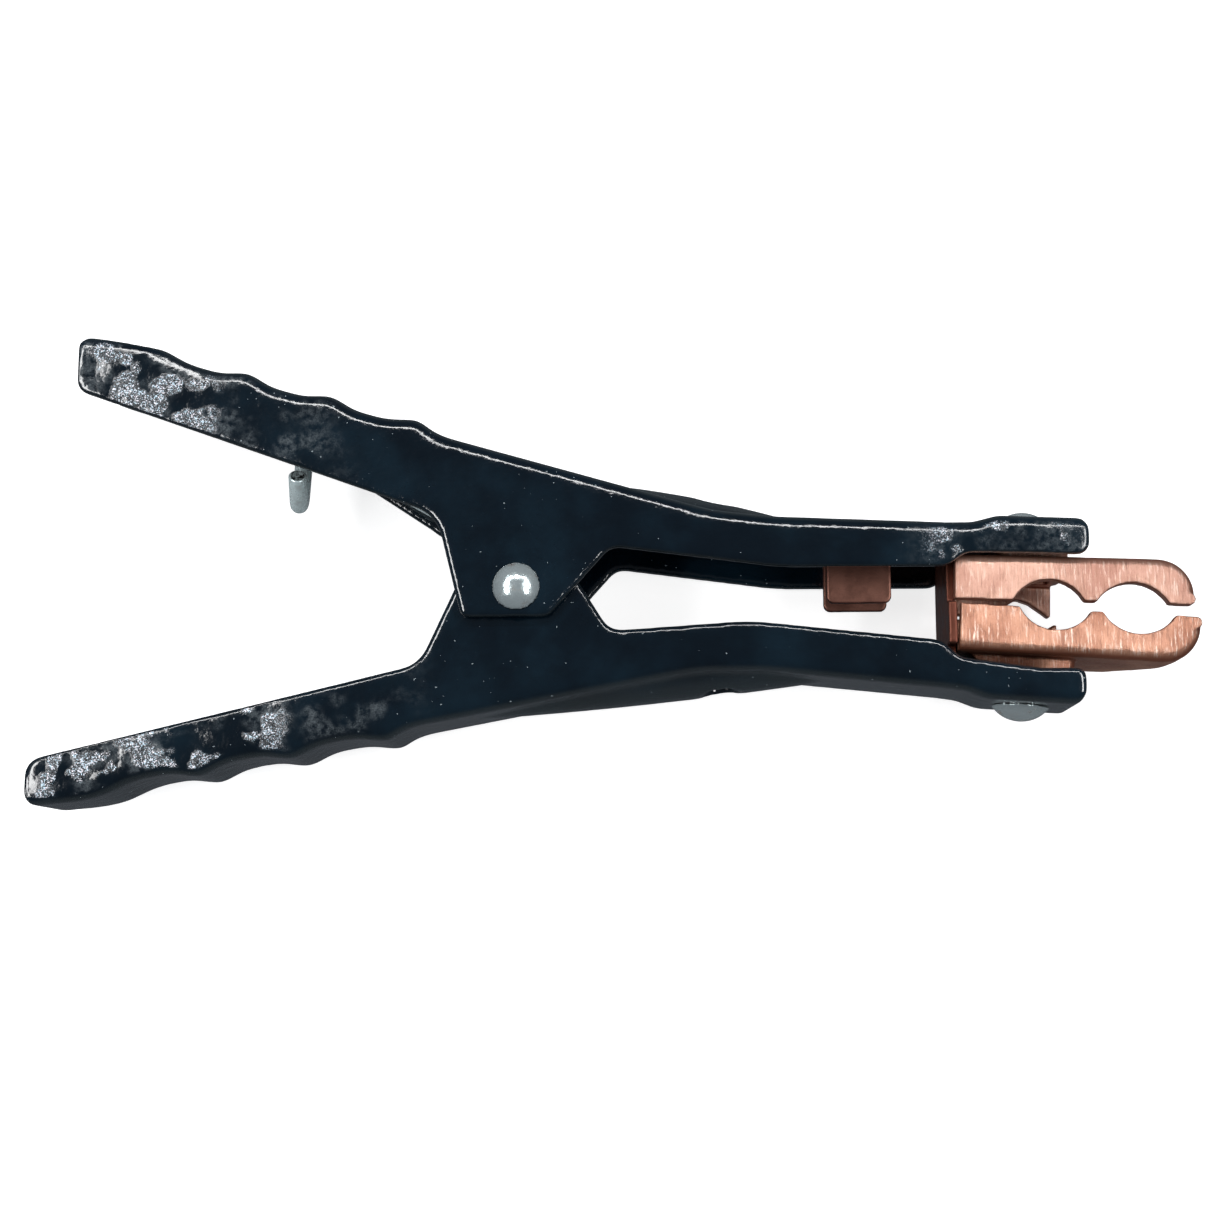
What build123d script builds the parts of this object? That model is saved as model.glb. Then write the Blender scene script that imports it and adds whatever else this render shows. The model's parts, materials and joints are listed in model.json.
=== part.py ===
"""Heavy spring clamp with copper parrot jaws, lying on its side.

Two coated steel channel arms turn on a domed rivet and a torsion spring holds
the jaws together. X runs from the handles to the jaws, Y is the way the clamp
opens and Z is the pivot axis. Everything is drawn about the pivot and moved at
the end, so that the origin is under the middle of the whole clamp.
"""
import os
from math import acos, atan2, cos, degrees, hypot, radians, sin, tan
from typing import NamedTuple

from build123d import *

# ---- driving dimensions, millimetres and degrees ----
SHEET = 2.3              # arm steel with its coating
BEND = 2.4               # outside radius of the channel bends
UPPER_W = 26.0           # outside width of the upper arm
SIDE_GAP = 0.3           # between the upper ears and the lower ears, each side
LOWER_W = UPPER_W - 2 * (SHEET + SIDE_GAP)

PIVOT_R = 3.0            # pivot rivet shank
RUNNING = 0.05           # radial clearance of the upper ears on the shank
SEATED = 0.02            # radial clearance of what the rivet holds still
PIVOT_HEAD_R = 4.1
PIVOT_HEAD_H = 1.9

JAW_T = 2.6              # copper of the jaws
JAW_W = 21.2
JAW_H = 8.0              # from the biting edge to the back of the jaw
JAW_LENGTH = 40.6
JAW_BEND = 2.0
FAR_TOOTH = [(12.8, 3.2), (15.4, 2.3), (18.7, 0.0), (19.2, 0.0), (19.2, 5.0), (12.8, 5.0)]
LIP = 5.0                # web left beyond the long side where the web ends
PAN_HALF = 7.3
PAN_T = 2.0              # walls and floor of the pan, stretched thinner than the jaw
PAN_CORNER = 2.5
JAW_SHANK_R = 2.5
JAW_HEAD_R = 5.0
JAW_HEAD_H = 2.6
JAW_TAIL_R = 3.3
JAW_TAIL_H = 1.4

STRAP_T = 1.3            # cable strap under the upper web
PLATE_T = 1.5            # contact plate of the lower jaw
PLATE_X = 73.7
PLATE_SIDE = [(94.5, -17.87), (80.9, -16.94), (76.3, -15.35), (73.7, -15.0), (73.7, -9.4),
              (75.2, -9.4), (75.2, -13.6), (76.9, -14.0), (81.4, -15.6), (94.5, -16.47)]
BLADE = [(-9.9, -10.0), (6.9, -10.0), (6.9, 7.7), (-2.6, 7.7), (-2.6, 10.0), (-9.9, 10.0)]
CRIMP_X = (53.3, 64.5)
CRIMP_HALF = 5.5
CRIMP_TOP = 8.95
CRIMP_BOTTOM = -2.2

WIRE = 3.2               # spring wire
COIL_R = 6.9             # mean radius of the coil
COIL_HALF = 5.8          # half the coil's length, centre to centre
COIL_TURNS = 3

FIT = 0.05               # face to face gap between clamped pieces
BIG = 80.0

# ---- outlines of the arms, about the pivot ----
UPPER_CREST = (-62.4, 42.9)
UPPER_PITCH = (14.77, -4.33)
LOWER_CREST = (-70.9, -34.9)
LOWER_PITCH = (16.03, 2.97)
GROOVES = 3
UPPER_GROOVE = 1.2
LOWER_GROOVE = 1.4

UPPER_BACK = [(-77.7, 45.8), (-11.0, 26.3), (33.6, 13.4), (44.1, 12.2),
              (74.0, 10.9), (78.0, 10.9), (82.1, 12.0), (97.5, 11.4)]
UPPER_BACK_R = [30, 60, 6, 5, 5]
UPPER_EDGE = [(97.5, 4.8), (76.6, 5.4), (73.4, 3.0), (45.0, 3.1), (16.2, 6.9),
              (5.4, -5.2), (-9.5, -5.2), (-14.0, 12.8), (-77.7, 35.6)]
UPPER_EDGE_R = [2, 3, 3, 30, 3, 1.5, 1.2, 7, 2.5]

LOWER_BACK = [(-85.0, -37.2), (-15.9, -23.2), (30.9, -14.3), (42.8, -14.3),
              (73.3, -17.4), (76.7, -17.9), (80.1, -19.3), (96.7, -20.4)]
LOWER_BACK_R = [30, 30, 8, 5, 5]
LOWER_EDGE = [(96.7, -14.1), (89.0, -14.1), (75.7, -12.2), (72.3, -9.2), (39.9, -5.7),
              (15.9, -7.3), (7.4, 6.2), (-8.2, 6.2), (-17.0, -12.9), (-85.0, -29.2)]
LOWER_EDGE_R = [1.5, 8, 3, 3, 40, 3.5, 3, 3, 6, 3.5]

TIP_R = 2.2              # back corner of the handle's tip
NOSE_R = 3.2             # back corner of the jaw end
CORNER_LIFT = 0.15       # keeps the line between those corners off the web
FAR_CUT = [(-79.0, 39.6), (-30.0, 22.6), (-17.0, 14.0), (-17.0, 0.0), (-79.0, 0.0)]

# ---- pressed bead along each web, between the pivot and the jaws ----
# Where its crest leaves and joins the web, its rise above that line and its
# cross-section radius. HOLE_AT is the hole's place along it from its middle.
BEAD = {"upper": ((8.0, 20.8), (52.0, 11.9), 1.3, 10.5),
        "lower": ((-8.0, -21.6), (52.0, -15.4), 0.6, 9.5)}
HOLE_R = 3.15
HOLE_AT = {"upper": 4.0, "lower": 13.0}

# ---- spring legs ----
SLEEVE_R = 4.8
UPPER_LEG_ROUTE = [(-39.7, 30.0, -2.0), (-40.6, 15.2, -2.0), (-39.3, 21.0, 7.0)]
LOWER_LEG_END = (-38.0, -23.4, 5.4)
HOOK_R = 2.4
LEG_LEAD = 1.6           # how far a leg runs on along the coil's own direction
LEAD_R = 14.0


def handle_line(first, pitch, depth, outside):
    """Points along the finger grooves, each groove a shallow parabola."""
    length = hypot(*pitch)
    inward = outside * pitch[1] / length, -outside * pitch[0] / length
    points = []
    for step in range(4 * GROOVES + 1):
        dip = depth * (1 - (step % 4 / 2 - 1) ** 2)
        points.append((first[0] + step / 4 * pitch[0] + dip * inward[0],
                       first[1] + step / 4 * pitch[1] + dip * inward[1]))
    return points


def back_face(back, radii, grooves, outside, inward, overrun):
    """Solid side view under an arm's back line, moved inward by a sheet."""
    shift = -outside * inward
    tip = back[0][0] - overrun, back[0][1] + shift
    run = [Vector(x, y + shift) for x, y in back[1:]]
    run[-1] += (run[-1] - run[-2]).normalized() * overrun
    wave = [(x, y + shift) for x, y in handle_line(*grooves, outside)]
    floor = -outside * BIG
    along = Vector(*wave[0]) - Vector(*tip), run[1] - run[0]
    with BuildSketch() as face:
        with BuildLine():
            Spline(tip, *wave, run[0], tangents=along)
            FilletPolyline(*run, radius=radii)
            Polyline(run[-1], (run[-1].X, floor), (tip[0], floor), tip)
        make_face()
    return face.sketch


def edge_face(edge, radii, back, outside):
    """Everything on the back's side of the flange edges, its corners rounded."""
    lift = Vector(0, outside * CORNER_LIFT)
    tip = Vector(*back[0]) + lift
    nose = Vector(*back[-1]) + lift
    start = (tip + 2 * nose) / 3
    end = (2 * tip + nose) / 3
    with BuildSketch() as face:
        with BuildLine():
            FilletPolyline(start, nose, *edge, tip, end, radius=[NOSE_R, *radii, TIP_R])
            Line(end, start)
        make_face()
    return face.sketch


def bead_plane(which, outside):
    """Frame at the middle of a bead: x along it, y out of the web."""
    start, end = BEAD[which][:2]
    along = Vector(end[0] - start[0], end[1] - start[1], 0).normalized()
    middle = ((start[0] + end[0]) / 2, (start[1] + end[1]) / 2, 0)
    return Plane(origin=middle, x_dir=along, z_dir=(0, 0, outside))


def bead_barrel(which, outside, thinner):
    """Barrel whose top is the pressed bead, smaller by the sheet inside."""
    start, end, rise, radius = BEAD[which]
    half = hypot(end[0] - start[0], end[1] - start[1]) / 2
    depth = radius - rise
    plane = bead_plane(which, outside)
    axis_start = plane.from_local_coords((-half, -depth, 0))
    with BuildPart(mode=Mode.PRIVATE) as barrel:
        with BuildSketch(plane):
            with BuildLine():
                ThreePointArc((-half, -thinner), (0, rise - thinner), (half, -thinner))
                Polyline((half, -thinner), (half, -depth), (-half, -depth), (-half, -thinner))
            make_face()
        revolve(axis=Axis(axis_start, plane.x_dir))
    return barrel.part


def make_arm(which, width, back, back_r, edge, edge_r, grooves, outside, hole_r, jaw):
    """Channel arm: web on the outside, two flanges with ears, grooves, bead."""
    half = width / 2
    bead = bead_plane(which, outside)
    with BuildPart() as arm:
        add(back_face(back, back_r, grooves, outside, 0, 0))
        extrude(amount=half, both=True)
        web_edges = arm.edges().filter_by(
            lambda e: abs(abs(e.center().Z) - half) < 0.01 and outside * e.center().Y > 4)
        fillet(web_edges, BEND)
        add(bead_barrel(which, outside, 0))
        add(edge_face(edge, edge_r, back, outside))
        extrude(amount=half + 1, both=True, mode=Mode.INTERSECT)
        add(back_face(back, back_r, grooves, outside, SHEET, 5))
        extrude(amount=half - SHEET, both=True, mode=Mode.SUBTRACT)
        add(bead_barrel(which, outside, SHEET), mode=Mode.SUBTRACT)
        Cylinder(hole_r, width + 2, mode=Mode.SUBTRACT)
        with BuildSketch(Plane(bead.from_local_coords((HOLE_AT[which], 0, 0)),
                               x_dir=bead.x_dir, z_dir=bead.y_dir)):
            Circle(HOLE_R)
        extrude(amount=8, both=True, mode=Mode.SUBTRACT)
        with BuildSketch(jaw.rivet_plane(jaw.seat_h)):
            Circle(JAW_SHANK_R + SEATED)
        extrude(amount=8, both=True, mode=Mode.SUBTRACT)
        if which == "upper":
            with BuildSketch():
                with BuildLine():
                    Polyline(*FAR_CUT, close=True)
                make_face()
            extrude(amount=-width, mode=Mode.SUBTRACT)
    return arm


class Jaw(NamedTuple):
    """Where a jaw sits and how its channel is cut, lengths along the jaw."""

    start: tuple         # rear corner of the biting edge
    slope: float
    outside: int         # +1 where the jaw's back faces +Y
    seat_h: float        # inside of the arm's web above the biting edge
    clamped_t: float     # piece clamped between the pan and the web
    pan: tuple           # from where to where the pan is pressed
    ramp: float          # length of the pan's slanting rear wall
    rivet_at: float
    web: tuple           # where the web starts to narrow and where it is down to its lip
    far_side_end: float
    rear: float          # rear end of all but the long side

    def plane(self):
        """Frame with x along the jaw and y from the bite to the jaw's back."""
        along = Vector(cos(radians(self.slope)), sin(radians(self.slope)), 0)
        return Plane(origin=(*self.start, 0), x_dir=along, z_dir=(0, 0, self.outside))

    def rivet_plane(self, height):
        """Frame on the rivet's axis at a height, its z out through the web."""
        plane = self.plane()
        origin = plane.from_local_coords((self.rivet_at, height, 0))
        return Plane(origin=origin, x_dir=plane.x_dir, z_dir=plane.y_dir)

    def pan_top(self):
        """Outer face of the pan's floor."""
        return self.seat_h - self.clamped_t - FIT


UPPER_JAW = Jaw(start=(74.7, -2.3), slope=-2.0, outside=1, seat_h=12.2, clamped_t=STRAP_T,
                pan=(7.6, 20.0), ramp=0.0, rivet_at=12.8, web=(19.2, 19.2),
                far_side_end=19.2, rear=1.3)
LOWER_JAW = Jaw(start=(75.8, -3.0), slope=-3.9, outside=-1, seat_h=13.65, clamped_t=PLATE_T,
                pan=(1.8, 20.4), ramp=5.0, rivet_at=12.1, web=(25.5, 38.0),
                far_side_end=30.5, rear=0.0)


def jaw_face():
    """Side view of a jaw with its two bites, teeth and rounded nose."""
    with BuildSketch() as face:
        with BuildLine():
            Line((0, 0), (9.9, 0))
            ThreePointArc((9.9, 0), (16.0, 3.7), (22.0, 0.1))
            Line((22.0, 0.1), (24.0, 0.1))
            ThreePointArc((24.0, 0.1), (30.1, 3.5), (36.2, 0))
            Line((36.2, 0), (39.8, 0))
            ThreePointArc((39.8, 0), (40.4, 0.4), (JAW_LENGTH, 1.1))
            nose = TangentArc((34.3, JAW_H), (JAW_LENGTH, 1.1), tangent=(1, 0))
            Polyline(nose @ 0, (0, JAW_H), (0, 0))
        make_face()
    return face.sketch


def far_box(jaw, start, top, wide):
    """Box that cuts the far side of a jaw away from `start` to the nose."""
    with Locations((start, top, -jaw.outside * wide)):
        Box(BIG, BIG, BIG, mode=Mode.SUBTRACT,
            align=(Align.MIN, Align.MAX, Align.MAX if jaw.outside > 0 else Align.MIN))


def web_offcut(jaw):
    """Side of the web that is missing towards the nose, seen from the back."""
    half = JAW_W / 2
    lip = half - JAW_T - LIP
    start, end = jaw.web
    points = [(start, -BIG), (start, -half), (end, lip), (BIG, lip), (BIG, -BIG)]
    with BuildSketch(Plane.XZ) as offcut:
        with BuildLine():
            Polyline(*[(x, jaw.outside * z) for x, z in points], close=True)
        make_face()
    return offcut.sketch


def pan_face(jaw, thinner):
    """Side view of the pan, its rear wall slanting, or of the hollow inside it."""
    base = JAW_H - JAW_T
    rise = jaw.pan_top() - JAW_H
    top = jaw.pan_top() - thinner
    start = jaw.pan[0] + thinner * hypot(jaw.ramp, rise) / rise
    end = jaw.pan[1] - thinner
    crest = start + jaw.ramp / rise * (top - JAW_H)
    with BuildSketch() as face:
        with BuildLine():
            Polyline((start, base), (start, JAW_H), (crest, top), (end, top), (end, base),
                     close=True)
        make_face()
    return face.sketch


def make_jaw(jaw):
    """Copper channel jaw with a long near side, a short far side and a pan."""
    half = JAW_W / 2
    inner = half - JAW_T
    near = jaw.outside
    hanging = Align.CENTER, Align.MAX, Align.CENTER
    with BuildPart() as copper:
        add(jaw_face())
        extrude(amount=half, both=True)
        fillet(copper.edges().filter_by(
            lambda e: abs(abs(e.center().Z) - half) < 0.01 and e.center().Y > 4.5), JAW_BEND)
        with Locations((JAW_LENGTH / 2, JAW_H - JAW_T, 0)):
            Box(2 * JAW_LENGTH, BIG, 2 * inner, mode=Mode.SUBTRACT, align=hanging)
        extrude(web_offcut(jaw), amount=BIG, both=True, mode=Mode.SUBTRACT)
        far_box(jaw, jaw.far_side_end, JAW_H - JAW_T, inner)
        with Locations((jaw.rear, 0, near * inner)):
            Box(BIG, BIG, BIG, mode=Mode.SUBTRACT,
                align=(Align.MAX, Align.CENTER, Align.MAX if near > 0 else Align.MIN))
        with BuildSketch(Plane.XY.offset(-near * inner)):
            with BuildLine():
                Polyline(*FAR_TOOTH, close=True)
            make_face()
        extrude(amount=-near * JAW_T)
        add(pan_face(jaw, 0))
        extrude(amount=PAN_HALF, both=True)
        fillet(copper.edges().filter_by(Axis.Y).filter_by(
            lambda e: e.center().Y > JAW_H), PAN_CORNER)
        add(pan_face(jaw, PAN_T))
        extrude(amount=PAN_HALF - PAN_T, both=True, mode=Mode.SUBTRACT)
        with Locations(Location((jaw.rivet_at, jaw.pan_top(), 0), (90, 0, 0))):
            Cylinder(JAW_SHANK_R + SEATED, BIG, mode=Mode.SUBTRACT)
    return jaw.plane().location * copper.part


def dome(radius, height):
    """Domed rivet head, a cap of a sphere standing on the XY plane."""
    ball = (radius**2 + height**2) / (2 * height)
    with BuildPart(mode=Mode.PRIVATE) as head:
        with Locations((0, 0, height - ball)):
            Sphere(ball)
        split(bisect_by=Plane.XY)
    return head.part


def make_jaw_rivet(jaw):
    """Rivet through the pan, what is clamped under it and the arm's web."""
    start = jaw.pan_top() - PAN_T - FIT
    length = jaw.seat_h + SHEET + FIT - start
    with BuildPart() as rivet:
        Cylinder(JAW_SHANK_R, length, align=(Align.CENTER, Align.CENTER, Align.MIN))
        Cylinder(JAW_TAIL_R, JAW_TAIL_H, align=(Align.CENTER, Align.CENTER, Align.MAX))
        add(dome(JAW_HEAD_R, JAW_HEAD_H).moved(Location((0, 0, length))))
    return jaw.rivet_plane(start).location * rivet.part


def make_pivot_rivet():
    """Pivot rivet with the same dome formed on both ends."""
    length = UPPER_W + 2 * FIT
    with BuildPart() as rivet:
        Cylinder(PIVOT_R, length)
        add(dome(PIVOT_HEAD_R, PIVOT_HEAD_H).moved(Location((0, 0, length / 2))))
        mirror(about=Plane.XY)
    return rivet


def make_sleeve():
    """Spacer tube that keeps the lower ears apart inside the coil."""
    height = LOWER_W - 2 * SHEET - 2 * FIT
    with BuildPart() as sleeve:
        Cylinder(SLEEVE_R, height)
        Cylinder(PIVOT_R + SEATED, height, mode=Mode.SUBTRACT)
    return sleeve


def coil_tangent(point, side):
    """Angle on the coil, in degrees, where a leg to the point leaves it."""
    reach = hypot(*point)
    return degrees(atan2(point[1], point[0])) - side * degrees(acos(COIL_R / reach))


def round_corner(before, corner, after, radius):
    """Start, middle and end of the arc that rounds a corner in space."""
    back = (before - corner).normalized()
    on = (after - corner).normalized()
    half = acos(back.dot(on)) / 2
    inward = (back + on).normalized()
    middle = corner + inward * (radius / sin(half) - radius)
    reach = radius / tan(half)
    return corner + back * reach, middle, corner + on * reach


def wire_along(path):
    """Round spring wire swept along a path."""
    with BuildPart() as wire:
        with BuildSketch(Plane(origin=path @ 0, z_dir=path % 0)):
            Circle(WIRE / 2)
        sweep(path=path)
    return wire.part


def leg_path(start, direction, route):
    """Leg's centre line, from a coil end along its own direction to the tip."""
    points = [start, start + direction * LEG_LEAD, *[Vector(*point) for point in route]]
    radii = [LEAD_R] + [HOOK_R] * (len(points) - 3)
    with BuildLine() as leg:
        here = start
        for before, corner, after, radius in zip(points, points[1:], points[2:], radii):
            bend = round_corner(before, corner, after, radius)
            Line(here, bend[0])
            ThreePointArc(*bend)
            here = bend[2]
        Line(here, points[-1])
    return leg.wire()


def make_spring():
    """Torsion spring: left-hand coil round the sleeve, one leg along each handle."""
    upper = coil_tangent(UPPER_LEG_ROUTE[0][:2], 1)
    lower = coil_tangent(LOWER_LEG_END[:2], -1)
    turn = (upper - lower) % 360 + 360 * COIL_TURNS
    height = 2 * COIL_HALF
    with BuildLine() as line:
        Helix(360 * height / turn, height, COIL_R, lefthand=True)
    helix = line.wire().moved(Location((0, 0, -COIL_HALF), (0, 0, upper)))
    coil = wire_along(helix)
    upper_leg = wire_along(leg_path(helix @ 0, -(helix % 0), UPPER_LEG_ROUTE))
    lower_leg = wire_along(leg_path(helix @ 1, helix % 1, [LOWER_LEG_END]))
    return coil + upper_leg + lower_leg


def make_crimp(jaw):
    """Copper strap under the upper web, its tail bent round as a cable crimp."""
    top = [(95.5, 9.14), (82.2, 9.6), (78.2, 8.5), (74.0, 8.5), (CRIMP_X[0], CRIMP_TOP)]
    low = [(x, y - STRAP_T) for x, y in reversed(top)]
    length = CRIMP_X[1] - CRIMP_X[0]
    height = CRIMP_TOP - CRIMP_BOTTOM
    with BuildPart() as crimp:
        with BuildSketch():
            with BuildLine():
                Polyline(*top, *low, close=True)
            make_face()
        extrude(amount=CRIMP_HALF, both=True)
        with Locations((CRIMP_X[0], CRIMP_TOP, 0)):
            Box(length, height, 2 * CRIMP_HALF, align=(Align.MIN, Align.MAX, Align.CENTER))
        fillet(crimp.edges().filter_by(Axis.Z).filter_by(
            lambda e: e.center().Y < CRIMP_BOTTOM + 0.1), 1.2)
        with Locations((CRIMP_X[0], CRIMP_TOP - STRAP_T, 0)):
            Box(length, height, 2 * (CRIMP_HALF - STRAP_T), mode=Mode.SUBTRACT,
                align=(Align.MIN, Align.MAX, Align.CENTER))
        with BuildSketch(jaw.rivet_plane(jaw.seat_h)):
            Circle(JAW_SHANK_R + SEATED)
        extrude(amount=6, both=True, mode=Mode.SUBTRACT)
    return crimp


def make_plate(jaw):
    """Contact plate: foot under the lower jaw's pan, blade standing behind it."""
    with BuildPart() as plate:
        with BuildSketch():
            with BuildLine():
                Polyline(*PLATE_SIDE, close=True)
            make_face()
        extrude(amount=PAN_HALF, both=True)
        with BuildSketch(Plane.YZ.offset(PLATE_X)):
            with BuildLine():
                Polyline(*BLADE, close=True)
            make_face()
        extrude(amount=PLATE_T)
        with BuildSketch(jaw.rivet_plane(jaw.seat_h)):
            Circle(JAW_SHANK_R + SEATED)
        extrude(amount=6, both=True, mode=Mode.SUBTRACT)
    return plate


def build_all():
    """Every piece in place about the pivot, by node name."""
    upper_grooves = UPPER_CREST, UPPER_PITCH, UPPER_GROOVE
    lower_grooves = LOWER_CREST, LOWER_PITCH, LOWER_GROOVE
    return {
        "upper_arm": make_arm("upper", UPPER_W, UPPER_BACK, UPPER_BACK_R, UPPER_EDGE,
                              UPPER_EDGE_R, upper_grooves, 1, PIVOT_R + RUNNING,
                              UPPER_JAW).part,
        "lower_arm": make_arm("lower", LOWER_W, LOWER_BACK, LOWER_BACK_R, LOWER_EDGE,
                              LOWER_EDGE_R, lower_grooves, -1, PIVOT_R + SEATED,
                              LOWER_JAW).part,
        "upper_jaw": make_jaw(UPPER_JAW),
        "lower_jaw": make_jaw(LOWER_JAW),
        "upper_jaw_rivet": make_jaw_rivet(UPPER_JAW),
        "lower_jaw_rivet": make_jaw_rivet(LOWER_JAW),
        "contact_plate": make_plate(LOWER_JAW).part,
        "cable_crimp": make_crimp(UPPER_JAW).part,
        "pivot_rivet": make_pivot_rivet().part,
        "pivot_sleeve": make_sleeve().part,
        "torsion_spring": make_spring(),
    }


pieces = build_all()
whole = Compound([*pieces.values()]).bounding_box()
home = Location((-whole.center().X, -whole.center().Y, -whole.min.Z))
print("pivot at", tuple(home.position))
os.makedirs("parts", exist_ok=True)
for name, piece in pieces.items():
    placed = piece.moved(home)
    placed.label = name
    export_step(placed, f"parts/{name}.step")
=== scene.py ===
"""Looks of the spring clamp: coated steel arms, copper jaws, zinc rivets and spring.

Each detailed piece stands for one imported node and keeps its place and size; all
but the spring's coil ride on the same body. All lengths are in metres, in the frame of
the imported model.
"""
import json
import math

import bpy
import numpy as np
from mathutils import Matrix, Vector, noise


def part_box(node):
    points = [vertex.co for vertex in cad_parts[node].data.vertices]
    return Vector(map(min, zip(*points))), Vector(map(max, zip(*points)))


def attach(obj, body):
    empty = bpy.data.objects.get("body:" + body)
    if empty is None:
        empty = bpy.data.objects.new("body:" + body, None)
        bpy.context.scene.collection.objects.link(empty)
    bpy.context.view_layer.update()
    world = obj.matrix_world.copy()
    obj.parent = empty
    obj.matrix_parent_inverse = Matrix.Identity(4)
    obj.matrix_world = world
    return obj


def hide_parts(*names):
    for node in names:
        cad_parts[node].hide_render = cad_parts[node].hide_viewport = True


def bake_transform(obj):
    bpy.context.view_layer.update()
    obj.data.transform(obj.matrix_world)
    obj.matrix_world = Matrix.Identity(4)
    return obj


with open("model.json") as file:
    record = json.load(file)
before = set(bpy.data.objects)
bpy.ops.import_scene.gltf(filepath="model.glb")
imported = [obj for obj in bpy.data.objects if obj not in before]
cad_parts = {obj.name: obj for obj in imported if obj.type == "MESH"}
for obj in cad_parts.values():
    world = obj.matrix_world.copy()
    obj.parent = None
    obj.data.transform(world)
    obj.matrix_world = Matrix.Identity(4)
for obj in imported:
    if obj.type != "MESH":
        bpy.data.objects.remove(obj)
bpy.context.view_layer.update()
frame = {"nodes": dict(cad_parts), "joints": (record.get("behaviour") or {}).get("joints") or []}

MM = 0.001
UPPER = "upper_half"
LOWER = "lower_half"
PIVOT = Vector(frame["joints"][0]["pos_m"])

# ---- camera, looking down on the clamp as it lies on its side ----
CAMERA_RIGHT = Vector((0.99886, 0.0, -0.0477))
CAMERA_UP = Vector((0.00728, 0.98829, 0.1524))
CAMERA_TARGET = PIVOT + Vector((15.59, -3.75, 13.05)) * MM
CAMERA_DISTANCE = 350 * MM
LENS = 60.97
SENSOR = 36.0

# ---- spring, about the pivot ----
WIRE_R = 1.6 * MM
COIL_R = 6.9 * MM
COIL_HALF = 5.8 * MM
COIL_TURNS = 3
UPPER_LEG = [(-39.7, 30.0, -2.0), (-40.6, 15.2, -2.0), (-39.3, 21.0, 7.0)]
LOWER_LEG = [(-38.0, -23.4, 5.4)]
HOOK_R = 2.4 * MM
LEG_LEAD = 1.6 * MM      # straight start of a leg
LEAD_R = 14.0 * MM       # bend after it
WIRE_SIDES = 20
COIL_STEP = 6            # degrees between rings of the coil
BEND_STEP = 8            # degrees between rings of a leg's bend
CHAMFER = 0.25 * MM      # worn rim of a cut end

# ---- arms: size of the remade faces, rounds of smoothing and surface relief ----
ARM_FACE = 0.38 * MM
ARM_ROUNDS = 26
DENT = 0.34 * MM
RIPPLE = 0.035 * MM
EAR_RELIEF = 0.10 * MM   # drawn back round the pivot, under the rivet's head
EAR_R = (6.0 * MM, 4.8 * MM)   # where that starts and where it is full
SKIN = 0.002 * MM        # least that a surface is drawn back

# ---- lower jaw: its back at the pivot's X, its fall per length, painted shade in its pan ----
JAW_BACK_Y = PIVOT.y - 5.85 * MM
JAW_FALL = 0.0682
PAN_SHADE = 0.94
PAN_RIM = (-0.3 * MM, 0.5 * MM)   # depth below the back where the dark sets in
PAN_X = (96.0 * MM, 88.0 * MM)    # and where it fades in along the jaw


# ---------------------------------------------------------------- mesh helpers
def linked(name, data):
    """New object in the scene."""
    made = bpy.data.objects.new(name, data)
    bpy.context.scene.collection.objects.link(made)
    return made


def new_piece(name, mesh, body, node):
    """Links a mesh as a piece that rides on a body and stands for a node."""
    piece = linked(name, mesh)
    mesh.shade_smooth()
    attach(piece, body)
    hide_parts(node)
    return piece


def dress(piece, material):
    """Gives a piece one material."""
    piece.data.materials.clear()
    piece.data.materials.append(material)


def rounded_copy(node, voxel, rounds):
    """Mesh of a node remade in small even faces, its edges worn round."""
    work = linked("work", frame["nodes"][node].data.copy())
    remesh = work.modifiers.new("remesh", "REMESH")
    remesh.mode = "VOXEL"
    remesh.voxel_size = voxel
    smooth = work.modifiers.new("smooth", "SMOOTH")
    smooth.factor = 0.5
    smooth.iterations = rounds
    bpy.context.view_layer.update()
    shaped = work.evaluated_get(bpy.context.evaluated_depsgraph_get())
    mesh = bpy.data.meshes.new_from_object(shaped)
    bpy.data.objects.remove(work)
    mesh.materials.clear()
    return mesh


def vertex_array(mesh, field):
    """Vertex positions or normals as an array of rows."""
    values = np.empty(len(mesh.vertices) * 3, dtype=np.float32)
    mesh.vertices.foreach_get(field, values)
    return values.reshape(-1, 3)


def move_vertices(mesh, places):
    """Writes vertex positions back."""
    mesh.vertices.foreach_set("co", places.astype(np.float32).ravel())
    mesh.update()


def store(mesh, name, values):
    """Keeps one number per vertex for the materials."""
    layer = mesh.attributes.new(name, "FLOAT", "POINT")
    layer.data.foreach_set("value", values.astype(np.float32))


def step(values, low, high):
    """Smooth step from 0 at low to 1 at high."""
    share = np.clip((values - low) / (high - low), 0, 1)
    return share * share * (3 - 2 * share)


def clouds(places, size, seed, octaves=2):
    """Cloudy noise of about -1 to 1 at each place, with features of a size."""
    shift = Vector((seed * 7.3, seed * 3.1, seed * 5.7))
    return np.array([noise.fractal(Vector(place) / size + shift, 1.0, 2.0, octaves)
                     for place in places])


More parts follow.
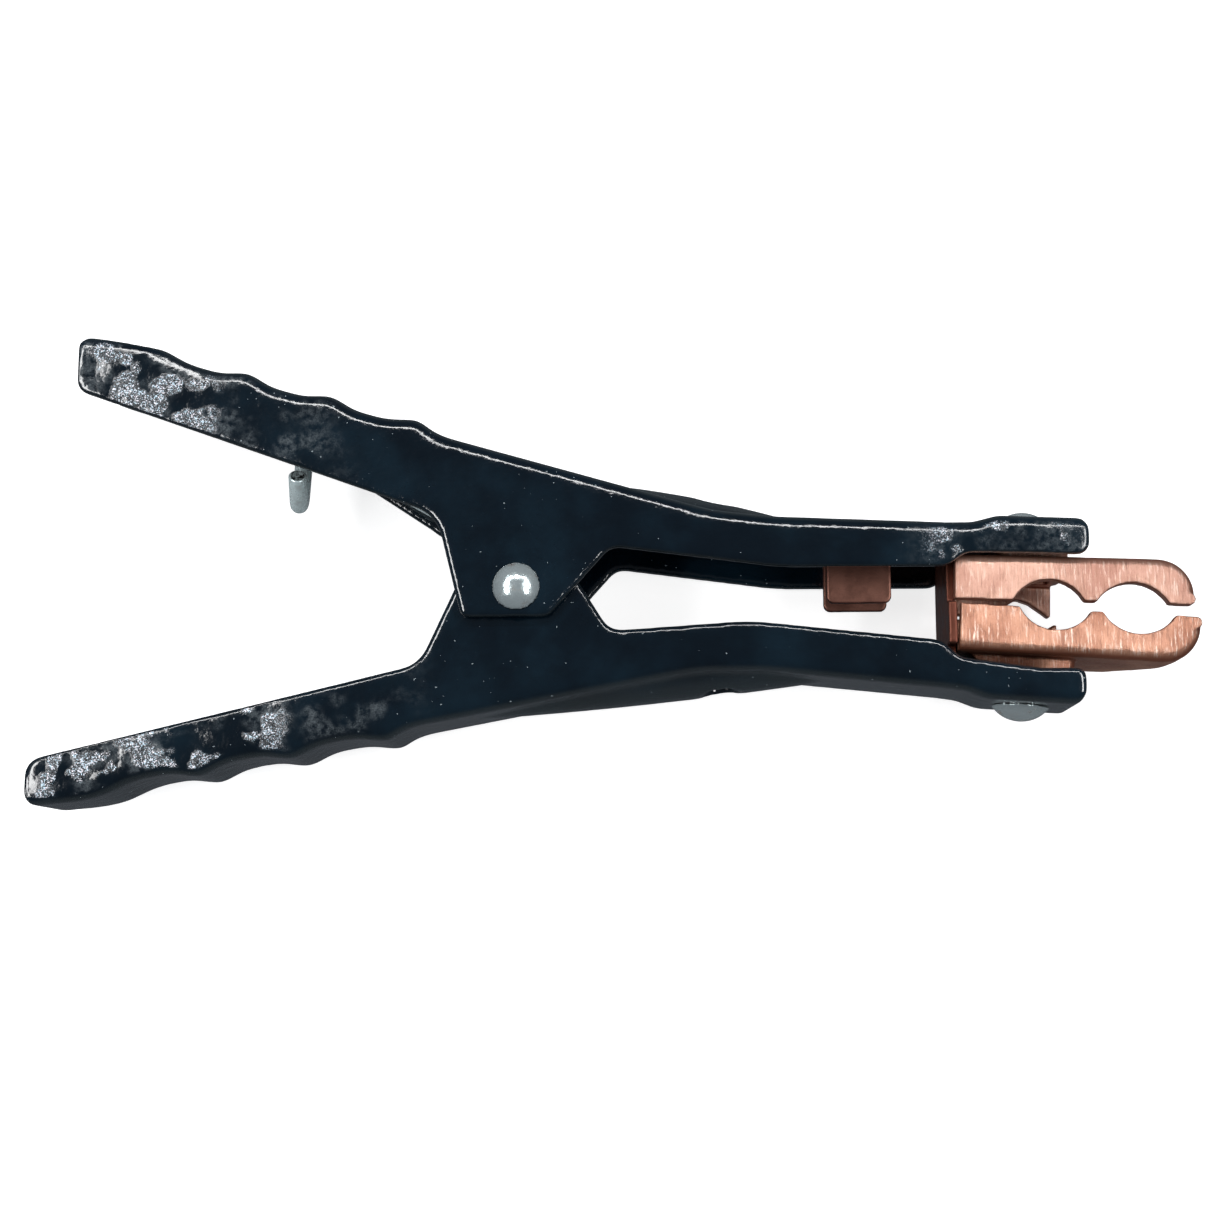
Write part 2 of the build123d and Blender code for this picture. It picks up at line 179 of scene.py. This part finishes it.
# ---------------------------------------------------------------- node helpers
class Nodes:
    """Small helper that adds and links shader nodes."""

    def __init__(self, name):
        self.material = bpy.data.materials.new(name)
        self.material.use_nodes = True
        self.tree = self.material.node_tree
        self.shader = self.tree.nodes["Principled BSDF"]

    def add(self, kind, inputs=None, **settings):
        """Adds a node, sets its properties, then fills or links its inputs."""
        made = self.tree.nodes.new(kind)
        for name, value in settings.items():
            setattr(made, name, value)
        for name, value in (inputs or {}).items():
            self.put(made.inputs[name], value)
        return made

    def put(self, socket, value):
        """Links an output to a socket, or sets the socket's own value."""
        if isinstance(value, bpy.types.NodeSocket):
            self.tree.links.new(value, socket)
        else:
            socket.default_value = value

    def position(self, stretch=(1, 1, 1)):
        """Place on the piece in millimetres, stretched along the axes."""
        place = self.add("ShaderNodeTexCoord").outputs["Object"]
        scale = [factor / MM for factor in stretch]
        return self.add("ShaderNodeMapping", {"Vector": place, "Scale": scale}).outputs[0]

    def noise(self, per_mm, detail=3.0, rough=0.5, stretch=(1, 1, 1)):
        """Noise value, its features counted per millimetre."""
        made = self.add("ShaderNodeTexNoise", {"Vector": self.position(stretch), "Scale": per_mm,
                                               "Detail": detail, "Roughness": rough})
        return made.outputs["Fac"]

    def ramp(self, value, low, high, start=0.0, end=1.0):
        """Maps a value from low..high to start..end, held at both ends."""
        made = self.add("ShaderNodeMapRange", {"Value": value, "From Min": low, "From Max": high,
                                               "To Min": start, "To Max": end},
                        interpolation_type="SMOOTHSTEP")
        return made.outputs[0]

    def math(self, operation, first, second=0.0):
        """One arithmetic step."""
        made = self.add("ShaderNodeMath", operation=operation)
        self.put(made.inputs[0], first)
        self.put(made.inputs[1], second)
        return made.outputs[0]

    def mix(self, share, first, second):
        """Blend of two colours; a Mix node's colour sockets are 6, 7 and 2."""
        made = self.add("ShaderNodeMix", data_type="RGBA")
        self.put(made.inputs["Factor"], share)
        self.put(made.inputs[6], first)
        self.put(made.inputs[7], second)
        return made.outputs[2]

    def attribute(self, name):
        """One number per vertex, kept by the mesh code."""
        return self.add("ShaderNodeAttribute", attribute_name=name).outputs["Fac"]

    def facing_z(self):
        """How squarely the surface faces up or down, from 0 to 1."""
        normal = self.add("ShaderNodeNewGeometry").outputs["Normal"]
        height = self.add("ShaderNodeSeparateXYZ", {"Vector": normal}).outputs["Z"]
        return self.math("ABSOLUTE", height)

    def bump(self, height, distance, strength=1.0, under=None):
        """Bump of a height in metres, laid over another bump if there is one."""
        made = self.add("ShaderNodeBump", {"Height": height, "Distance": distance,
                                           "Strength": strength})
        if under is not None:
            self.put(made.inputs["Normal"], under)
        return made.outputs["Normal"]

    def finish(self, **values):
        """Fills the shader's sockets; underscores stand for spaces."""
        for name, value in values.items():
            self.put(self.shader.inputs[name.replace("_", " ")], value)
        return self.material


def rgb(red, green, blue):
    """Opaque colour."""
    return (red, green, blue, 1.0)


# ---------------------------------------------------------------- materials
def coating():
    """Thick glossy blue-black coating with orange peel, dust and rough patches, painted sparkle
    highlights in the patches and a painted floor reflection on its side faces.
    """
    n = Nodes("coating")
    patch = n.attribute("patch")
    dull = n.attribute("dull")
    peel = n.noise(0.45, 2.0)
    grit = n.noise(4.2, 2.0, 0.6)
    clump = n.noise(0.9, 2.0, 0.6)
    lit = n.math("ADD", grit, n.math("MULTIPLY", clump, 0.45))
    # painted highlights: pale sparkles where light glints off the rough patches
    sparkle = n.math("MULTIPLY", n.ramp(lit, 0.765, 0.835), n.ramp(patch, 0.20, 0.70))
    dust = n.ramp(n.noise(2.0, 0.0), 0.850, 0.870)
    haze = n.ramp(n.noise(0.06, 4.0, 0.6), 0.35, 0.70)
    tint = n.noise(3.1, 1.0)
    colour = n.mix(haze, rgb(0.0008, 0.0036, 0.0072), rgb(0.0030, 0.0105, 0.0180))
    # painted reflection: faces that do not face up or down are lightened grey, as the pale floor
    # would show in them
    side_reflection = n.ramp(n.facing_z(), 0.50, 0.85, 0.55, 0.0)
    colour = n.mix(side_reflection, colour, rgb(0.022, 0.029, 0.031))
    mottle = n.math("MULTIPLY", n.ramp(clump, 0.30, 0.68), n.ramp(grit, 0.30, 0.70, 0.35, 1.0))
    grey = n.math("MULTIPLY", n.math("MAXIMUM", dull, patch), mottle)
    colour = n.mix(grey, colour, rgb(0.085, 0.100, 0.110))
    # colour of the painted sparkle highlights
    sparkle_colour = n.mix(n.ramp(tint, 0.40, 0.60), rgb(0.50, 0.68, 0.80), rgb(0.90, 0.86, 0.93))
    colour = n.mix(sparkle, colour, sparkle_colour)
    colour = n.mix(dust, colour, rgb(0.22, 0.26, 0.28))
    soft = n.bump(peel, 0.26 * MM, 0.55)
    fine = n.bump(n.noise(1.7, 1.0), 0.035 * MM, 0.7, soft)
    rough = n.bump(n.math("MULTIPLY", grit, patch), 0.16 * MM, 1.0, fine)
    roughness = n.ramp(patch, 0.0, 1.0, 0.13, 0.26)
    return n.finish(Base_Color=colour, Roughness=roughness, Normal=rough,
                    Coat_Weight=0.5, Coat_Roughness=0.05)


def copper(name, pale, deep, bend_shade, shear):
    """Sheared and pressed copper: fine streaks across it, painted shade along the bends and in the
    lower jaw's pan.
    """
    n = Nodes(name)
    streak = n.noise(1.0, 4.0, 0.7, (2.6, 0.28, 0.5))
    grain = n.noise(2.4, 3.0, 0.6)
    blotch = n.noise(0.14, 3.0, 0.6)
    toward = n.facing_z()
    flat = n.math("MULTIPLY", n.ramp(toward, 0.55, 0.97), n.ramp(blotch, 0.30, 0.55, 0.45, 1.0))
    # painted shade: the bends are darkened by how they are turned
    bend = n.math("MULTIPLY", n.ramp(toward, 0.02, 0.30), n.ramp(toward, 0.55, 0.95, 1.0, 0.0))
    colour = n.mix(n.ramp(blotch, 0.3, 0.7), pale, deep)
    colour = n.mix(n.math("MULTIPLY", n.ramp(streak, 0.52, 0.66, 0.0, shear), flat), colour,
                   rgb(0.74, 0.57, 0.48))
    colour = n.mix(n.math("MULTIPLY", n.ramp(streak, 0.47, 0.33, 0.0, shear), flat), colour,
                   rgb(0.27, 0.135, 0.095))
    colour = n.mix(n.math("MULTIPLY", bend, bend_shade), colour, rgb(0.25, 0.090, 0.052))
    colour = n.mix(n.ramp(grain, 0.60, 0.80, 0.0, 0.45), colour, rgb(0.26, 0.13, 0.09))
    # painted shade in the lower jaw's pan; there the copper also turns fully metallic so it stays
    # dark
    shade = n.attribute("shade")
    colour = n.mix(shade, colour, rgb(0.016, 0.005, 0.003))
    lines = n.bump(n.math("MULTIPLY", streak, flat), 0.30 * MM, 0.9)
    relief = n.bump(grain, 0.05 * MM, 0.6, lines)
    return n.finish(Base_Color=colour, Metallic=n.ramp(shade, 0.0, 0.9, 0.72, 1.0), Normal=relief,
                    Roughness=n.ramp(grain, 0.3, 0.7, 0.30, 0.46))


def sheet_copper(name, face, cut):
    """Dark copper sheet whose cut edges have a colour of their own."""
    n = Nodes(name)
    stain = n.noise(0.35, 4.0, 0.65)
    grain = n.noise(1.8, 3.0, 0.6, (0.6, 1.4, 0.6))
    edge = n.ramp(n.facing_z(), 0.72, 0.96)
    colour = n.mix(n.ramp(stain, 0.3, 0.72), face, rgb(face[0] * 2.0, face[1] * 1.9, face[2] * 1.9))
    colour = n.mix(edge, colour, cut)
    colour = n.mix(n.ramp(grain, 0.58, 0.76, 0.0, 0.55), colour, rgb(0.12, 0.05, 0.03))
    return n.finish(Base_Color=colour, Metallic=0.75, Normal=n.bump(grain, 0.06 * MM, 0.6),
                    Roughness=n.ramp(stain, 0.3, 0.7, 0.34, 0.50))


def zinc(name, base, dull, roughness, metallic):
    """Bright zinc plating with small stains, hammer marks and dark broken cuts."""
    n = Nodes(name)
    stain = n.noise(0.5, 4.0, 0.6)
    marks = n.noise(0.9, 2.0, 0.5)
    colour = n.mix(n.ramp(stain, 0.52, 0.78), base, dull)
    cut = n.math("MULTIPLY", n.attribute("cut"), n.ramp(n.noise(1.6), 0.40, 0.58, 1.0, 0.45))
    colour = n.mix(cut, colour, rgb(0.010, 0.012, 0.013))
    return n.finish(Base_Color=colour, Metallic=metallic, Normal=n.bump(marks, 0.12 * MM, 0.6),
                    Roughness=n.ramp(stain, 0.35, 0.75, roughness, roughness + 0.18))


def plain_floor():
    """Pale matt floor."""
    n = Nodes("pale_floor")
    shade = n.ramp(n.noise(0.004, 1.0), 0.3, 0.7)
    colour = n.mix(shade, rgb(0.56, 0.56, 0.56), rgb(0.60, 0.60, 0.60))
    return n.finish(Base_Color=colour, Roughness=0.9, Emission_Color=rgb(1, 1, 1),
                    Emission_Strength=0.80)


# ---------------------------------------------------------------- solid pieces
def arm_piece(node, body, outside, tip_end, nose_start, patches):
    """Coated arm: rounded flange edges, soft dents and a patchy surface.

    outside is the way the arm's back faces along Y, and patches holds how strong
    the rough patches, which also carry the painted sparkle highlights, are on the handle and on the
    nose.
    """
    mesh = rounded_copy(node, ARM_FACE, ARM_ROUNDS)
    low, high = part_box(node)
    places = vertex_array(mesh, "co").copy()
    normals = vertex_array(mesh, "normal").copy()
    sides = step(np.abs(normals[:, 2]), 0.75, 0.97)
    along = places[:, 0]
    handle = step(along, tip_end, tip_end - 12 * MM)
    nose = step(along, nose_start, nose_start + 14 * MM)

    broad = clouds(places, 7.5 * MM, 1 + outside)
    dents = np.clip(broad + 0.1, 0, 1) * (0.15 + handle) * sides
    waves = clouds(places, 2.4 * MM, 4 + outside)
    depth = DENT * dents + RIPPLE * waves * (0.5 + handle + 0.5 * nose)
    from_pivot = np.hypot(along - PIVOT.x, places[:, 1] - PIVOT.y)
    depth = np.maximum(depth, EAR_RELIEF * step(from_pivot, *EAR_R) + SKIN)
    move_vertices(mesh, places - normals * depth[:, None])

    spots = clouds(places, 5.0 * MM, 9 + outside, 3)
    inset = step(along, low[0] + 1.0 * MM, low[0] + 3.5 * MM)
    corner = 1 - 0.7 * step(along, high[0] - 6 * MM, high[0] - 3 * MM)
    where = sides * np.maximum(handle * inset * patches[0], nose * corner * patches[1])
    store(mesh, "patch", step(spots, -0.02, 0.28) * where)
    wider = sides * np.maximum(step(along, tip_end + 22 * MM, tip_end + 6 * MM) * patches[0],
                               nose * patches[1])
    haze = clouds(places, 6.5 * MM, 15 + outside, 3)
    store(mesh, "dull", step(haze, -0.22, 0.35) * wider)
    return new_piece(node + "_coated", mesh, body, node)


def plain_piece(node, suffix, body, face, rounds, dent):
    """Other solid piece, its edges rounded and its faces slightly uneven."""
    mesh = rounded_copy(node, face, rounds)
    places = vertex_array(mesh, "co").copy()
    normals = vertex_array(mesh, "normal").copy()
    uneven = np.clip(clouds(places, 3.2 * MM, 3), 0, 1) * dent
    # painted shade in the pan of the lower jaw
    if node == "lower_jaw":
        store(mesh, "shade", pan_shade(places))
    move_vertices(mesh, places - normals * uneven[:, None])
    return new_piece(node + suffix, mesh, body, node)


def pan_shade(places):
    """Painted shade on the lower jaw at each place: only its pan is shaded, for the shadow in it.
    """
    along = places[:, 0] - PIVOT.x
    depth = JAW_BACK_Y - places[:, 1] - JAW_FALL * along
    return PAN_SHADE * step(depth, *PAN_RIM) * step(along, *PAN_X)


# ---------------------------------------------------------------- spring
def tangent_angle(point, side):
    """Angle on the coil where a leg to the point leaves it."""
    reach = math.hypot(point[0], point[1]) * MM
    return math.atan2(point[1], point[0]) - side * math.acos(COIL_R / reach)


def leg_line(start, direction, route):
    """Points along a leg from a coil end to its tip, its corners rounded."""
    points = [start, start + direction * LEG_LEAD, *[Vector(point) * MM for point in route]]
    radii = [LEAD_R] + [HOOK_R] * (len(points) - 3)
    line = [start]
    for before, corner, after, radius in zip(points, points[1:], points[2:], radii):
        back = (before - corner).normalized()
        on = (after - corner).normalized()
        half = back.angle(on) / 2
        reach = radius / math.tan(half)
        centre = corner + (back + on).normalized() * radius / math.sin(half)
        first = (corner + back * reach - centre).normalized()
        last = (corner + on * reach - centre).normalized()
        count = max(3, int(math.degrees(math.pi - 2 * half) / BEND_STEP))
        for index in range(count + 1):
            line.append(centre + first.slerp(last, index / count) * radius)
    line.append(points[-1])
    return line


def coil_line(start, turn):
    """Points along the left-hand coil and its direction at both ends."""
    count = int(turn / math.radians(COIL_STEP))
    line = []
    for index in range(count + 1):
        share = index / count
        angle = start - share * turn
        line.append(Vector((COIL_R * math.cos(angle), COIL_R * math.sin(angle),
                            COIL_HALF * (2 * share - 1))))
    rise = 2 * COIL_HALF / turn
    ends = [Vector((COIL_R * math.sin(angle), -COIL_R * math.cos(angle), rise)).normalized()
            for angle in (start, start - turn)]
    return line, ends


def wire_rings(line):
    """Centre, two spokes and direction at each point of a wire."""
    rings = []
    side = None
    for index, point in enumerate(line):
        ahead = line[min(index + 1, len(line) - 1)] - line[max(index - 1, 0)]
        ahead.normalize()
        if side is None:
            side = ahead.orthogonal().normalized()
        side = (side - ahead * side.dot(ahead)).normalized()
        rings.append((point, side, ahead.cross(side), ahead))
    return rings


def wire_mesh(name, line, cut):
    """Round wire along a line; a cut end has a worn rim and a sunk dark middle."""
    rings = wire_rings(line)
    stations = [(ring, 0.0, WIRE_R) for ring in rings[:-1]]
    end = rings[-1]
    if cut:
        stations += [(end, -CHAMFER, WIRE_R), (end, 0.0, WIRE_R - CHAMFER),
                     (end, 0.02 * MM, 0.76 * WIRE_R), (end, -CHAMFER, 0.55 * WIRE_R)]
    else:
        stations.append((end, 0.0, WIRE_R))
    verts = []
    for (point, across, over, ahead), shift, width in stations:
        for corner in range(WIRE_SIDES):
            angle = 2 * math.pi * corner / WIRE_SIDES
            spoke = across * math.cos(angle) + over * math.sin(angle)
            verts.append(tuple(PIVOT + point + ahead * shift + spoke * width))
    faces = []
    for ring in range(len(stations) - 1):
        for corner in range(WIRE_SIDES):
            here = ring * WIRE_SIDES + corner
            beside = ring * WIRE_SIDES + (corner + 1) % WIRE_SIDES
            faces.append((here, beside, beside + WIRE_SIDES, here + WIRE_SIDES))
    faces.append(tuple(reversed(range(WIRE_SIDES))))
    faces.append(tuple(range(len(verts) - WIRE_SIDES, len(verts))))
    mesh = bpy.data.meshes.new(name)
    mesh.from_pydata(verts, [], faces)
    broken = np.zeros(len(verts))
    if cut:
        broken[-2 * WIRE_SIDES:] = 1
    store(mesh, "cut", broken)
    return mesh


def spring_pieces(material):
    """Coil about the pivot, and a leg riding on each arm."""
    node, slot = "torsion_spring", "spring_zinc"
    upper = tangent_angle(UPPER_LEG[0], 1)
    lower = tangent_angle(LOWER_LEG[0], -1)
    turn = (upper - lower) % (2 * math.pi) + 2 * math.pi * COIL_TURNS
    line, ends = coil_line(upper, turn)
    legs = [("spring_hook_leg", UPPER, leg_line(line[0], -ends[0], UPPER_LEG)),
            ("spring_lower_leg", LOWER, leg_line(line[-1], ends[1], LOWER_LEG))]
    for name, body, leg in legs:
        dress(new_piece(name, wire_mesh(name, leg, True), body, node), material)
    mesh = wire_mesh("spring_coil", line, False)
    coil = linked("spring_coil", mesh)
    mesh.shade_smooth()
    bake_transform(coil)
    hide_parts(node)
    dress(coil, material)


# ---------------------------------------------------------------- the object
paint = coating()
upper_copper = copper("upper_copper", rgb(0.54, 0.320, 0.245), rgb(0.42, 0.215, 0.160), 0.8, 0.6)
lower_copper = copper("lower_copper", rgb(0.52, 0.270, 0.180), rgb(0.34, 0.145, 0.090), 1.0, 0.9)
plate_copper = sheet_copper("plate_copper", rgb(0.070, 0.028, 0.020), rgb(0.115, 0.034, 0.020))
# the crimp's colours are darkened as painted shadow: it lies under the upper arm
shadowed_strap_copper = sheet_copper("shadowed_strap_copper", rgb(0.085, 0.036, 0.028), rgb(0.16, 0.070, 0.050))
bright_zinc = zinc("bright_zinc", rgb(0.68, 0.78, 0.80), rgb(0.40, 0.34, 0.30), 0.13, 0.78)
wire_zinc = zinc("wire_zinc", rgb(0.66, 0.78, 0.80), rgb(0.42, 0.48, 0.48), 0.22, 0.45)
dull_steel = zinc("dull_steel", rgb(0.42, 0.42, 0.43), rgb(0.22, 0.20, 0.19), 0.34, 0.8)

# ---- arms: where the handle's patches end and the nose's start; the lower has none ----
upper_low, upper_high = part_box("upper_arm")
lower_low, lower_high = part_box("lower_arm")
upper_span = upper_low[0] + 30 * MM, upper_high[0] - 34 * MM
lower_span = lower_low[0] + 50 * MM, lower_high[0] + 20 * MM
dress(arm_piece("upper_arm", UPPER, 1, *upper_span, (1.0, 0.7)), paint)
dress(arm_piece("lower_arm", LOWER, -1, *lower_span, (1.0, 0.0)), paint)

# ---- other solids: face size, rounds of smoothing and unevenness ----
SOLIDS = [
    ("upper_jaw", "_pressed", UPPER, "copper", 0.28, 3, 0.06, upper_copper),
    ("lower_jaw", "_pressed", LOWER, "lower_copper", 0.28, 3, 0.08, lower_copper),
    ("contact_plate", "_sheet", LOWER, "brown_copper", 0.24, 2, 0.04, plate_copper),
    ("cable_crimp", "_bent", UPPER, "crimp_copper", 0.22, 3, 0.05, shadowed_strap_copper),
    ("pivot_rivet", "_set", LOWER, "zinc", 0.20, 3, 0.05, bright_zinc),
    ("upper_jaw_rivet", "_set", UPPER, "zinc", 0.20, 3, 0.05, bright_zinc),
    ("lower_jaw_rivet", "_set", LOWER, "zinc", 0.20, 3, 0.05, bright_zinc),
]
for node, suffix, body, slot, face, rounds, dent, material in SOLIDS:
    dress(plain_piece(node, suffix, body, face * MM, rounds, dent * MM), material)
spring_pieces(wire_zinc)
dress(frame["nodes"]["pivot_sleeve"], dull_steel)


# ---------------------------------------------------------------- stage
def make_floor():
    """Wide pale plane that the clamp lies on."""
    reach = 3.0
    mesh = bpy.data.meshes.new("floor")
    corners = [(-reach, -reach, 0), (reach, -reach, 0), (reach, reach, 0), (-reach, reach, 0)]
    mesh.from_pydata(corners, [], [(0, 1, 2, 3)])
    floor = linked("floor", mesh)
    mesh.materials.append(plain_floor())
    floor.visible_glossy = False


def area_light(name, place, size, power):
    """Soft rectangular light aimed at the clamp."""
    data = bpy.data.lights.new(name, "AREA")
    data.shape = "RECTANGLE"
    data.size, data.size_y = size
    data.energy = power
    lamp = linked(name, data)
    lamp.location = place
    lamp.rotation_euler = (-Vector(place)).to_track_quat("-Z", "Y").to_euler()


def make_lights():
    """Strips at both sides and a broad light beyond the upper arm."""
    area_light("left_strip", (-0.62, 0.05, 0.85), (0.8, 0.20), 7)
    area_light("right_strip", (0.62, 0.05, 0.85), (0.8, 0.20), 7)
    area_light("far_box", (0.0, 0.62, 0.85), (1.2, 0.09), 6)
    world = bpy.data.worlds.new("studio")
    world.use_nodes = True
    backdrop = world.node_tree.nodes["Background"]
    backdrop.inputs["Color"].default_value = (0.80, 0.88, 1.0, 1.0)
    backdrop.inputs["Strength"].default_value = 0.085
    bpy.context.scene.world = world


def make_camera():
    """Camera above the clamp, tipped a little towards the lower arm."""
    back = CAMERA_RIGHT.cross(CAMERA_UP).normalized()
    data = bpy.data.cameras.new("camera")
    data.lens = LENS
    data.sensor_width = SENSOR
    camera = linked("camera", data)
    turn = Matrix((CAMERA_RIGHT, CAMERA_UP, back)).transposed().to_4x4()
    camera.matrix_world = Matrix.Translation(CAMERA_TARGET + back * CAMERA_DISTANCE) @ turn
    bpy.context.scene.camera = camera


make_floor()
make_lights()
make_camera()
bpy.context.scene.view_settings.view_transform = "Standard"
